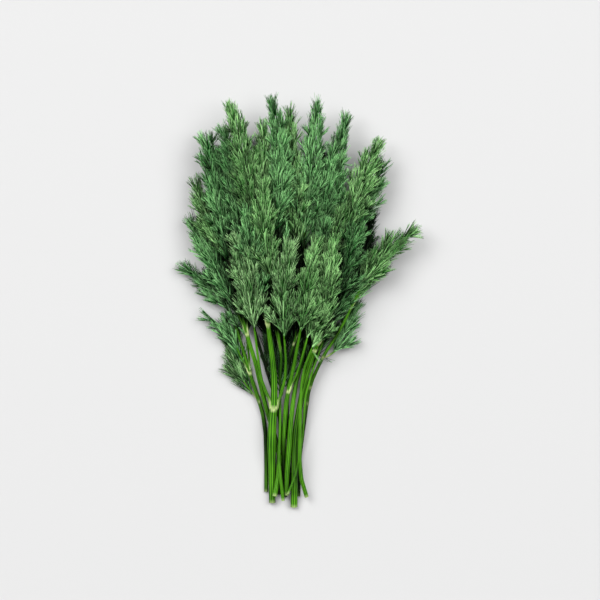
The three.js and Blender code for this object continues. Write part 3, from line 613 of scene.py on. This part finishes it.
# %% Leaf colours
# Painted shade: how deep below the top of the bunch a thread is darkest, and how dark it gets there.
LEAF_DARK = 9 * MM
LEAF_SHADED = 0.03
# Painted shade on the inner third of each thread, where its neighbours stand over it.
INNER_THIRD = 0.35
INNER_SHADED = 0.4
PATCHES = 38.0  # to the metre, so one every 26 mm
PATCH_WEIGHT = 1.6
TONE_GAIN, TONE_SHIFT = 1.22, -1.265
DEEP_AT, MID_AT, LIGHT_AT = 0.12, 0.5, 0.9
PALE_END, PALE_FROM = 0.5, -0.12


def thread_skin(name, deep, mid, light):
    material, tree = new_material(name)
    place = add(tree, "ShaderNodeTexCoord").outputs["Object"]
    along = add(tree, "ShaderNodeAttribute", {"attribute_name": "along"}).outputs["Fac"]
    chance = add(tree, "ShaderNodeAttribute", {"attribute_name": "chance"}).outputs["Fac"]
    buried = add(tree, "ShaderNodeAttribute", {"attribute_name": "buried"}).outputs["Fac"]
    patch = add(
        tree,
        "ShaderNodeTexNoise",
        links={"Vector": place},
        values={"Scale": PATCHES, "Detail": 2.0},
    )
    share = add(
        tree,
        "ShaderNodeMath",
        {"operation": "MULTIPLY_ADD"},
        {0: patch.outputs["Fac"], 2: chance},
        {1: PATCH_WEIGHT},
    )
    level = add(
        tree,
        "ShaderNodeMath",
        {"operation": "MULTIPLY_ADD"},
        {0: share.outputs[0]},
        {1: TONE_GAIN, 2: TONE_SHIFT},
    )
    ramp = add(tree, "ShaderNodeValToRGB", links={"Fac": level.outputs[0]})
    first, last = ramp.color_ramp.elements
    first.position, first.color = DEEP_AT, linear(deep)
    last.position, last.color = LIGHT_AT, linear(light)
    ramp.color_ramp.elements.new(MID_AT).color = linear(mid)
    end = add(
        tree,
        "ShaderNodeMath",
        {"operation": "MULTIPLY_ADD", "use_clamp": True},
        {0: along},
        {1: PALE_END, 2: PALE_FROM},
    )
    whole = add(
        tree,
        "ShaderNodeMix",
        {"data_type": "RGBA"},
        {"Factor": end.outputs[0], "A": ramp.outputs["Color"]},
        {"B": linear(light)},
    )
    # Painted shade on what lies deep in the bunch.
    buried_shade = add(
        tree,
        "ShaderNodeMapRange",
        links={"Value": buried},
        values={"From Max": LEAF_DARK, "To Min": 1.0, "To Max": LEAF_SHADED},
    )
    # Painted shade on the inner third of each thread.
    inner = add(
        tree,
        "ShaderNodeMapRange",
        links={"Value": along},
        values={"From Max": INNER_THIRD, "To Min": INNER_SHADED},
    )
    # Both painted shades together, multiplied into the green.
    depth = add(
        tree,
        "ShaderNodeMath",
        {"operation": "MULTIPLY"},
        {0: buried_shade.outputs["Result"], 1: inner.outputs["Result"]},
    )
    shaded = add(
        tree,
        "ShaderNodeMix",
        {"data_type": "RGBA", "blend_type": "MULTIPLY"},
        {"A": whole.outputs["Result"], "B": depth.outputs[0]},
        {"Factor": 1.0},
    )
    shader = add(
        tree,
        "ShaderNodeBsdfPrincipled",
        links={"Base Color": shaded.outputs["Result"]},
        values={"Roughness": 0.5, "IOR": 1.45, "Specular IOR Level": 0.08},
    )
    add(tree, "ShaderNodeOutputMaterial", links={"Surface": shader.outputs["BSDF"]})
    return material


THREAD_SKINS = {
    "leaf_deep": thread_skin("waxy_thread_deep", "#012207", "#166E24", "#9EE092"),
    "leaf_fresh": thread_skin("waxy_thread_fresh", "#032805", "#257E23", "#AEE896"),
    "leaf_olive": thread_skin("waxy_thread_olive", "#052A06", "#307C29", "#B2E49C"),
}
print("skins", [skin.name for skin in THREAD_SKINS.values()])

# %% [markdown]
# ## One thread, modelled once
# A thread is a thin soft needle that keeps its girth for two thirds of its length and then runs out
# to a point. It starts as a three-sided cone, is cut across once, and is widened at the cut. The
# finest threads stay plain and end blunt, as a point so thin would be lost: there are tens of
# thousands of them.

# %% The two threads
FULL_TO = 0.62
WIDENED = 2.1
BLUNT = 0.45


def needle(name, end, cut):
    deselect()
    bpy.ops.mesh.primitive_cone_add(
        vertices=3, radius1=1, radius2=end, depth=1, end_fill_type="NGON", location=(0, 0, 0.5)
    )
    bpy.ops.object.transform_apply(location=True, rotation=True, scale=True)
    if cut:
        bpy.ops.object.mode_set(mode="EDIT")
        bpy.ops.mesh.select_all(action="SELECT")
        bpy.ops.mesh.bisect(plane_co=(0, 0, FULL_TO), plane_no=(0, 0, 1))
        bpy.ops.transform.resize(value=(WIDENED, WIDENED, 1), center_override=(0, 0, FULL_TO))
        bpy.ops.object.mode_set(mode="OBJECT")
    mesh = bpy.context.object.data
    points = np.array([v.co for v in mesh.vertices])
    faces = [list(p.vertices) for p in mesh.polygons]
    bpy.data.objects.remove(bpy.context.object)
    print(name, len(points), "points,", sum(len(f) - 2 for f in faces), "triangles")
    return points, faces


FULL_THREAD = needle("full thread", 0, True)
FINE_THREAD = needle("fine thread", BLUNT, False)

# %% [markdown]
# ## Threads on a leaf
# On the real leaf each rib bears side ribs, each side rib bears feathers, and each feather is one
# thread with shorter threads along it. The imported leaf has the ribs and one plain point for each
# feather. So its points are taken as guides: the point is cut off, the face that it grew from is
# closed, and a feather is laid from its root to its tip. More feathers are grown between them,
# each the way that its neighbours grow.

# %% Helper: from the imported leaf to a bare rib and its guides
LEAST_GUIDE = 2.4 * MM


def guides_of(piece):
    """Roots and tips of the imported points, and which corners the tips are."""
    near = [[] for _ in piece.data.vertices]
    for a, b in (e.vertices for e in piece.data.edges):
        near[a].append(b)
        near[b].append(a)
    at = np.array([v.co for v in piece.data.vertices])
    ends = [i for i, others in enumerate(near) if len(others) == 3]
    roots = np.array([at[near[i]].mean(0) for i in ends])
    tall = np.linalg.norm(at[ends] - roots, axis=1) > LEAST_GUIDE
    return roots[tall], at[ends][tall], np.array(ends)[tall]


def cut_points_off(piece, ends):
    """Takes the tips off and closes the three-sided holes that are left."""
    mesh = piece.data
    mesh.polygons.foreach_set("select", np.zeros(len(mesh.polygons), bool))
    mesh.edges.foreach_set("select", np.zeros(len(mesh.edges), bool))
    picked = np.zeros(len(mesh.vertices), bool)
    picked[ends] = True
    mesh.vertices.foreach_set("select", picked)
    bpy.ops.object.mode_set(mode="EDIT")
    bpy.ops.mesh.select_mode(type="VERT")
    bpy.ops.mesh.delete(type="VERT")
    bpy.ops.mesh.select_all(action="SELECT")
    bpy.ops.mesh.fill_holes(sides=3)
    bpy.ops.mesh.select_all(action="SELECT")
    bpy.ops.mesh.normals_make_consistent(inside=False)
    bpy.ops.object.mode_set(mode="OBJECT")


def round_off(piece, plump):
    """Four-sided faces, one level of subdivision, and the girth that it takes away given back."""
    bpy.ops.object.mode_set(mode="EDIT")
    bpy.ops.mesh.select_all(action="SELECT")
    bpy.ops.mesh.tris_convert_to_quads()
    bpy.ops.object.mode_set(mode="OBJECT")
    smooth = piece.modifiers.new("round_skin", "SUBSURF")
    smooth.levels = smooth.render_levels = 1
    bpy.ops.object.modifier_apply(modifier=smooth.name)
    bpy.ops.object.mode_set(mode="EDIT")
    bpy.ops.mesh.select_all(action="SELECT")
    bpy.ops.transform.shrink_fatten(value=plump)
    bpy.ops.object.mode_set(mode="OBJECT")
    bpy.ops.object.shade_smooth()


# %% Helper: the ways that feathers grow
WHORL_REACH = 4 * MM


def whorl_axes(roots, ways):
    """For each feather the mean way of those that share its whorl, which is the way of its rib."""
    gaps = np.linalg.norm(roots[:, None] - roots[None], axis=2)
    return unit((gaps < WHORL_REACH).astype(float) @ ways)


# %% Helper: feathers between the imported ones
NEIGHBOURS = 5
BETWEEN_OPENING = (0.15, 0.5)
BETWEEN_LONG = (0.7, 1.15)


def between(piece, roots, ways, longs, count):
    """More feathers, from random places of the bare rib, each after its nearest neighbours."""
    polygons = piece.data.polygons
    areas = np.array([p.area for p in polygons])
    found = []
    for f in draw.choice(len(areas), count, p=areas / areas.sum()):
        corners = np.array([piece.data.vertices[v].co for v in polygons[f].vertices])
        normal = np.array(polygons[f].normal)
        root = draw.dirichlet(np.ones(len(corners))) @ corners
        near = np.argsort(np.linalg.norm(roots - root, axis=1))[:NEIGHBOURS]
        flat = ways[near] - (ways[near] @ normal)[:, None] * normal
        angle = draw.uniform(*BETWEEN_OPENING)
        way = unit(flat.sum(0)) * math.cos(angle) + normal * math.sin(angle)
        found.append((root, way, longs[near].mean() * draw.uniform(*BETWEEN_LONG)))
    return [np.array(part) for part in zip(*found)]


# %% Helper: the four shorter threads of a feather
FLATNESS = 0.4
SIDE_THREADS = 4
SIDE_SHARE = 0.95
SIDE_TAPER = 0.3
SIDE_OPENING = 0.17
SIDE_FIRST, SIDE_LAST = 0.1, 0.9
SIDE_ROOM = 1.2
SIDE_STRAY = 0.3
SIDE_ROLL = 0.6
OPENING_SPREAD = (0.75, 1.25)
REACH_SPREAD = (0.8, 1.2)


def laid_flat(ways, ahead):
    """Ways turned towards the plane that their leaf lies in, as threads lie in a bunch on a table."""
    flat = np.array(ways)
    flat[..., 2] = ahead[..., 2] + FLATNESS * (flat[..., 2] - ahead[..., 2])
    return unit(flat)


def side_threads(roots, tips):
    """Threads that leave each feather to both sides, shorter towards its tip."""
    run = tips - roots
    n, ahead, long = len(roots), unit(run), np.linalg.norm(run, axis=1)
    across = unit(np.cross(ahead, draw.normal(size=roots.shape)))
    above = np.cross(ahead, across)
    starts, ends = [], []
    for k in range(SIDE_THREADS):
        stray = draw.uniform(-SIDE_STRAY, SIDE_STRAY, n)
        s = SIDE_FIRST + (SIDE_LAST - SIDE_FIRST) * (k + stray) / (SIDE_THREADS - 1)
        turn = draw.normal(0, SIDE_ROLL, n) + (k % 2) * math.pi
        out = across * np.cos(turn)[:, None] + above * np.sin(turn)[:, None]
        angle = SIDE_OPENING * draw.uniform(*OPENING_SPREAD, n)
        share = np.minimum(SIDE_SHARE * (1 - SIDE_TAPER * s), SIDE_ROOM - s)
        reach = long * share * draw.uniform(*REACH_SPREAD, n)
        way = laid_flat(ahead * np.cos(angle)[:, None] + out * np.sin(angle)[:, None], ahead)
        starts.append(roots + run * s[:, None])
        ends.append(starts[-1] + way * reach[:, None])
    return np.concatenate(starts), np.concatenate(ends)


# %% Helper: many threads as one mesh
FLOOR_GAP = 0.4 * MM


def lay(thread, roots, tips, girth, chances, bows=None):
    """Copies of a thread from each root to each tip, with the numbers that their colour reads."""
    points, faces = thread
    roots, tips = (np.maximum(v, [-np.inf, -np.inf, FLOOR_GAP]) for v in (roots, tips))
    run = tips - roots
    ahead = unit(run)
    side = unit(np.cross(ahead, draw.normal(size=roots.shape)))
    up = np.cross(ahead, side)
    bows = np.zeros(roots.shape) if bows is None else bows
    x, y, z = (share[None, :, None] for share in points.T)
    at = roots[:, None] + run[:, None] * z + bows[:, None] * (4 * z * (1 - z))
    at = at + (x * side[:, None] + y * up[:, None]) * girth
    alongs = np.tile(points[:, 2], (len(roots), 1))
    numbers = alongs, np.repeat(chances[:, None], len(points), axis=1)
    return at, numbers, faces


def mesh_of(name, laid):
    """One mesh out of several lots of threads."""
    mesh = bpy.data.meshes.new(name)
    loops, sizes, offset = [], [], 0
    for at, _, faces in laid:
        n, m = at.shape[:2]
        flat = np.concatenate(faces)
        loops.append((flat[None] + offset + np.arange(n)[:, None] * m).ravel())
        sizes.append(np.tile([len(f) for f in faces], n))
        offset += n * m
    loops, sizes = np.concatenate(loops), np.concatenate(sizes)
    mesh.vertices.add(offset)
    corners = np.concatenate([at.ravel() for at, _, _ in laid])
    mesh.vertices.foreach_set("co", corners.astype(np.float32))
    mesh.loops.add(len(loops))
    mesh.loops.foreach_set("vertex_index", loops.astype(np.int32))
    mesh.polygons.add(len(sizes))
    mesh.polygons.foreach_set("loop_start", (np.cumsum(sizes) - sizes).astype(np.int32))
    mesh.polygons.foreach_set("use_smooth", np.ones(len(sizes), bool))
    mesh.update(calc_edges=True)
    for k, key in enumerate(("along", "chance")):
        write_attribute(mesh, key, np.concatenate([numbers[k].ravel() for _, numbers, _ in laid]))
    return mesh


# %% [markdown]
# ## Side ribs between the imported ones
# A packed leaf has a few whorls and nothing between them. The real leaf has a pair of side ribs at
# every few millimetres, so that it reads as one long plume. New side ribs are grown along the
# leaf's middle line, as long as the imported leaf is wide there, each bowed towards the leaf's tip.

# %% Helper: the middle line of a leaf, and how wide the leaf is along it
FELT_FROM = 0.4  # in millimetres, from the leaf's cut end
FELT_EVERY = 0.5 * MM
TIP_WITHIN = 20 * MM
LAST_STRETCH = 6  # this one and the next two in points
EVEN_OVER = 3
WIDTH_OVER = 13
WIDTH_SHARE = 85
LEAST_WIDTH = 6 * MM


def middle_line(leaf, start, ahead, roots, tips):
    """Points 1 mm apart along a leaf's rib: felt out inside it, then on to the aptest tip."""
    felt = feel_line(solid_of(leaf.data), start + ahead * FELT_FROM * MM, ahead, step=FELT_EVERY)
    line = np.array([start] + [p for p, _ in felt])
    way = unit(line[-1] - line[-LAST_STRETCH])
    gaps = np.linalg.norm(roots - line[-1], axis=1)
    fits = unit(tips - roots) @ way - gaps / TIP_WITHIN
    line = np.vstack([line, tips[fits.argmax()]])
    steps = np.concatenate([[0], np.cumsum(np.linalg.norm(np.diff(line, axis=0), axis=1))])
    marks = np.arange(0, steps[-1], MM)
    line = np.array([np.interp(marks, steps, line[:, k]) for k in range(3)]).T
    padded = np.pad(line, ((EVEN_OVER, EVEN_OVER), (0, 0)), "reflect", reflect_type="odd")
    return np.array([padded[i : i + 2 * EVEN_OVER + 1].mean(0) for i in range(len(line))])


def widths_along(line, tips):
    """Half the width of a leaf at each point of its middle line."""
    gaps = np.linalg.norm(tips[:, None] - line[None], axis=2)
    nearest, far = gaps.argmin(1), gaps.min(1)
    spans = [far[abs(nearest - i) <= WIDTH_OVER] for i in range(len(line))]
    return np.array([np.percentile(f, WIDTH_SHARE) if len(f) else LEAST_WIDTH for f in spans])


# %% Helper: the feathers of one side rib
FEATHER_EVERY = 3.0 * MM
FEATHER_LONG = 15 * MM
FEWEST_FEATHERS = 3
FIRST_FEATHER = 0.12
FEATHER_OPENING = (0.06, 0.26)
TIP_OPENING = 0.1
FEATHER_ROLL = 0.5
FEATHER_TAPER = 0.4
FEATHER_SPREAD = (0.65, 1.2)
GLANCE = 0.05


def rib_course(root, way, bend, long):
    """The places along a side rib that sets out one way and ends another."""

    def at(t):
        return root + way * long * t * (1 - t / 2) + bend * long * t * t / 2

    return at


def feathers_along(at, upright, long, scale):
    """Feathers as (root, way, length), to both sides of a side rib, and one that ends it."""
    feathers = []
    count = max(FEWEST_FEATHERS, int(long / FEATHER_EVERY))
    for k in range(count + 1):
        t = FIRST_FEATHER + (1 - FIRST_FEATHER) * k / count
        along = unit(at(min(1, t + GLANCE)) - at(t - GLANCE))
        turn = draw.normal(0, FEATHER_ROLL) + (k % 2) * math.pi
        across = unit(np.cross(along, upright))
        aside = across * math.cos(turn) + upright * math.sin(turn)
        opening = draw.uniform(*FEATHER_OPENING) if k < count else TIP_OPENING
        way = laid_flat(along * math.cos(opening) + aside * math.sin(opening), along)
        reach = FEATHER_LONG * (1 - FEATHER_TAPER * t) * scale * draw.uniform(*FEATHER_SPREAD)
        feathers.append((at(t), way, reach))
    return feathers


# %% Helper: the last feathers of a leaf
END_FEATHERS = 5
END_BACK, END_EVERY = 10, 2  # in points, 1 mm apart
END_SPLAY = (0.03, 0.16)
END_LONG = (0.6, 0.9)


def end_feathers(line):
    """Feathers as (root, way, length) that carry the middle line on to the leaf's tip."""
    feathers = []
    ahead = unit(line[-1] - line[-LAST_STRETCH])
    for k in range(END_FEATHERS):
        out = unit(np.cross(ahead, draw.normal(size=3)))
        angle = draw.uniform(*END_SPLAY)
        root = line[max(0, len(line) - 1 - END_BACK - END_EVERY * k)]
        way = ahead * math.cos(angle) + out * math.sin(angle)
        feathers.append((root, way, FEATHER_LONG * draw.uniform(*END_LONG)))
    return feathers


# %% Helper: pairs of side ribs along a middle line
FIRST_PAIR, LAST_PAIR = 0.05, 0.93
PAIR_SPREAD = (0.8, 1.2)
AHEAD_OVER, WIDTH_AHEAD = 4, 8  # in points, 1 mm apart
RIB_OPENING = (0.2, 0.4)
RIB_LIFT = (0.05, 0.25)
RIB_SPREAD = (0.55, 1.0)
SHORTEST_RIB = 4 * MM
FEATHER_REACH = 4.2 * MM
BOW = 0.55
BUSHY = 0.5
BUSHY_UP_TO = 14  # in points
LEAF_TAPER = 0.3


def grow_pairs(line, widths, every):
    """Side ribs as (root, tip, bow), and feathers as (root, way, length), along points 1 mm apart."""
    ribs, feathers = [], []
    total = len(line) - 1
    s = FIRST_PAIR * total
    while s < LAST_PAIR * total:
        i = int(s)
        root = line[i]
        ahead = unit(line[min(total, i + AHEAD_OVER)] - line[max(0, i - AHEAD_OVER)])
        right = unit(np.cross(ahead, [0, 0, 1]))
        upright = np.cross(right, ahead)
        wide = widths[min(total, i + WIDTH_AHEAD)]
        for side in (1, -1):
            lift = draw.normal(*RIB_LIFT)
            out = right * side * math.cos(lift) + upright * math.sin(lift)
            angle = draw.uniform(*RIB_OPENING) * (1 + BUSHY * max(0, 1 - s / BUSHY_UP_TO))
            longest = (wide - FEATHER_REACH) / math.sin(min(angle, RIB_OPENING[1]))
            long = longest * draw.uniform(*RIB_SPREAD)
            long = max(SHORTEST_RIB, min(long, (total - s) * MM - FEATHER_LONG))
            way = ahead * math.cos(angle) + out * math.sin(angle)
            at = rib_course(root, way, unit(way + BOW * (ahead - way)), long)
            ribs.append((root, at(1), at(0.5) - (root + at(1)) / 2))
            feathers += feathers_along(at, upright, long, 1 - LEAF_TAPER * s / total)
        s += every / MM * draw.uniform(*PAIR_SPREAD)
    feathers += end_feathers(line)
    return [np.array(p) for p in zip(*ribs)], [np.array(p) for p in zip(*feathers)]


# %% Helper: threads of a whole leaf as one object
RIB_GIRTH = 0.48 * MM
FEATHER_GIRTH = 0.36 * MM
THREAD_GIRTH = 0.25 * MM
FEATHER_BOW = 0.04
RIB_TONE = 0.85
TONE_SHAPE = 0.7
SIDE_TONE_SPREAD = 0.5


def threads_of(name, ribs, feathers):
    rib_roots, rib_tips, rib_bows = ribs
    roots, ways, longs = feathers
    tips = roots + ways * longs[:, None]
    starts, stops = side_threads(roots, tips)
    rib_tones = np.full(len(rib_roots), RIB_TONE)
    tones = draw.beta(TONE_SHAPE, TONE_SHAPE, len(roots))
    side_tones = np.tile(tones, SIDE_THREADS) + draw.normal(0, SIDE_TONE_SPREAD, len(starts))
    bows = draw.normal(0, FEATHER_BOW, roots.shape) * longs[:, None]
    laid = [
        lay(FULL_THREAD, rib_roots, rib_tips, RIB_GIRTH, rib_tones, rib_bows),
        lay(FULL_THREAD, roots, tips, FEATHER_GIRTH, tones, bows),
        lay(FINE_THREAD, starts, stops, THREAD_GIRTH, np.clip(side_tones, 0, 1)),
    ]
    found = bpy.data.objects.new(name, mesh_of(name, laid))
    bpy.context.scene.collection.objects.link(found)
    return found


def join_as_leaf(leaf, threads, slot):
    """Makes the rib and its threads one piece in one finish."""
    for key in ("along", "chance"):
        write_attribute(leaf.data, key, np.full(len(leaf.data.vertices), RIB_TONE))
    for piece in (leaf, threads):
        piece.data.materials.clear()
        piece.data.materials.append(THREAD_SKINS[slot])
    deselect()
    threads.select_set(True)
    leaf.select_set(True)
    bpy.context.view_layer.objects.active = leaf
    bpy.ops.object.join()
    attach(leaf, "root")


# %% [markdown]
# ## The leaves, dressed
# Each leaf is now made of three sorts of feathers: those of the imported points, each leaning towards
# the way of its rib, those between them, and those of the side ribs. On the real plant the lowest
# threads leave the footstalk itself. So the middle line is carried back down the footstalk a little,
# and further for the low leaves inside the bunch, which close the gaps between the plumes. Only the
# high leaves beside the forks keep a bare footstalk, so that the pale joints stay in view.

# %% Helper: how far down its footstalk a leaf has threads
LOW_START = 9 * MM
LOWERED = 11
LOWERED_INSIDE = 32
LOWERED_HIGH = 14
FORKS_END = 2 * MM
BUNCH_MIDDLE = -11 * MM
INSIDE = 14 * MM


def lowered(start):
    """How far, in millimetres, for a leaf that starts at this place."""
    if start[2] < LOW_START:
        return LOWERED_INSIDE if abs(start[0] - BUNCH_MIDDLE) < INSIDE else LOWERED
    return LOWERED_HIGH if start[1] > FORKS_END else 0


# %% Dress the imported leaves
RIB_PLUMP = 0.1 * MM
BETWEEN = 0.5
PACKED_SHARE = 0.92
LEAN = 0.8
PAIR_EVERY = 4.4 * MM
LOW_PAIR_EVERY = 4.5 * MM

leaf_slots = {row["node"]: row["material_slot"] for row in frame["record"]["subparts"]}
triangles = {}
for node in leaf_nodes:
    leaf = merged_copy(node, "feathery_" + node)
    roots, tips, ends = guides_of(leaf)
    cut_points_off(leaf, ends)
    line = middle_line(leaf, *leaf_starts[node], roots, tips)
    longs = np.linalg.norm(tips - roots, axis=1)
    ways = unit(tips - roots)
    more = between(leaf, roots, ways, longs, int(BETWEEN * len(roots)))
    packed = (roots, unit(ways + LEAN * whorl_axes(roots, ways)), longs * PACKED_SHARE)
    round_off(leaf, RIB_PLUMP)
    above_floor(leaf.data)
    start, ahead = (np.array(v) for v in leaf_starts[node])
    back = [start - ahead * k * MM for k in range(lowered(start), 0, -1)]
    line = np.vstack([*back, line])
    every = LOW_PAIR_EVERY if start[2] < LOW_START else PAIR_EVERY
    ribs, grown = grow_pairs(line, widths_along(line, tips), every)
    feathers = [np.concatenate(sorts) for sorts in zip(packed, more, grown)]
    join_as_leaf(leaf, threads_of("threads", ribs, feathers), leaf_slots[node])
    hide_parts(node)
    triangles[node] = sum(len(p.vertices) - 2 for p in leaf.data.polygons)
    print(node, len(line), "mm long,", len(ribs[0]), "side ribs,", len(feathers[0]), "feathers")
print("leaf triangles", sum(triangles.values()), "most in one", max(triangles.values()))

# %% [markdown]
# ## How deep each thread lies
# Inside a bunch it is nearly dark, because each thread takes light from those below it. A lamp and
# soft shadows show part of that, but threads finer than a picture's dots need help: each point
# keeps how far it lies under the top of the bunch around it, and its skin darkens by that.

# %% Measure the depth below the top
CELL = 1.5 * MM
BLUR = 14


def corners_of(mesh):
    flat = np.empty(len(mesh.vertices) * 3, np.float32)
    mesh.vertices.foreach_get("co", flat)
    return flat.reshape(-1, 3)


def blurred(grid):
    for _ in range(BLUR):
        for axis in (0, 1):
            grid = (np.roll(grid, 1, axis) + 2 * grid + np.roll(grid, -1, axis)) / 4
    return grid


pieces = [o for o in bpy.data.objects if o.name.startswith(("ribbed_", "feathery_"))]
corners = [corners_of(o.data) for o in pieces]
edge = np.concatenate(corners)[:, :2].min(0)
cells = [tuple(((at[:, :2] - edge) / CELL).astype(int).T + BLUR) for at in corners]
top = np.zeros([max(c[k].max() for c in cells) + BLUR for k in (0, 1)])
for at, cell in zip(corners, cells):
    np.maximum.at(top, cell, at[:, 2])
covered = np.maximum(blurred((top > 0).astype(float)), 1e-6)  # never 0, as it divides
canopy = blurred(top) / covered
for piece, at, cell in zip(pieces, corners, cells):
    write_attribute(piece.data, "buried", np.maximum(canopy[cell] - at[:, 2], 0))
print("depths measured on a grid of", top.shape, "cells, top", round(top.max() / MM, 1), "mm")
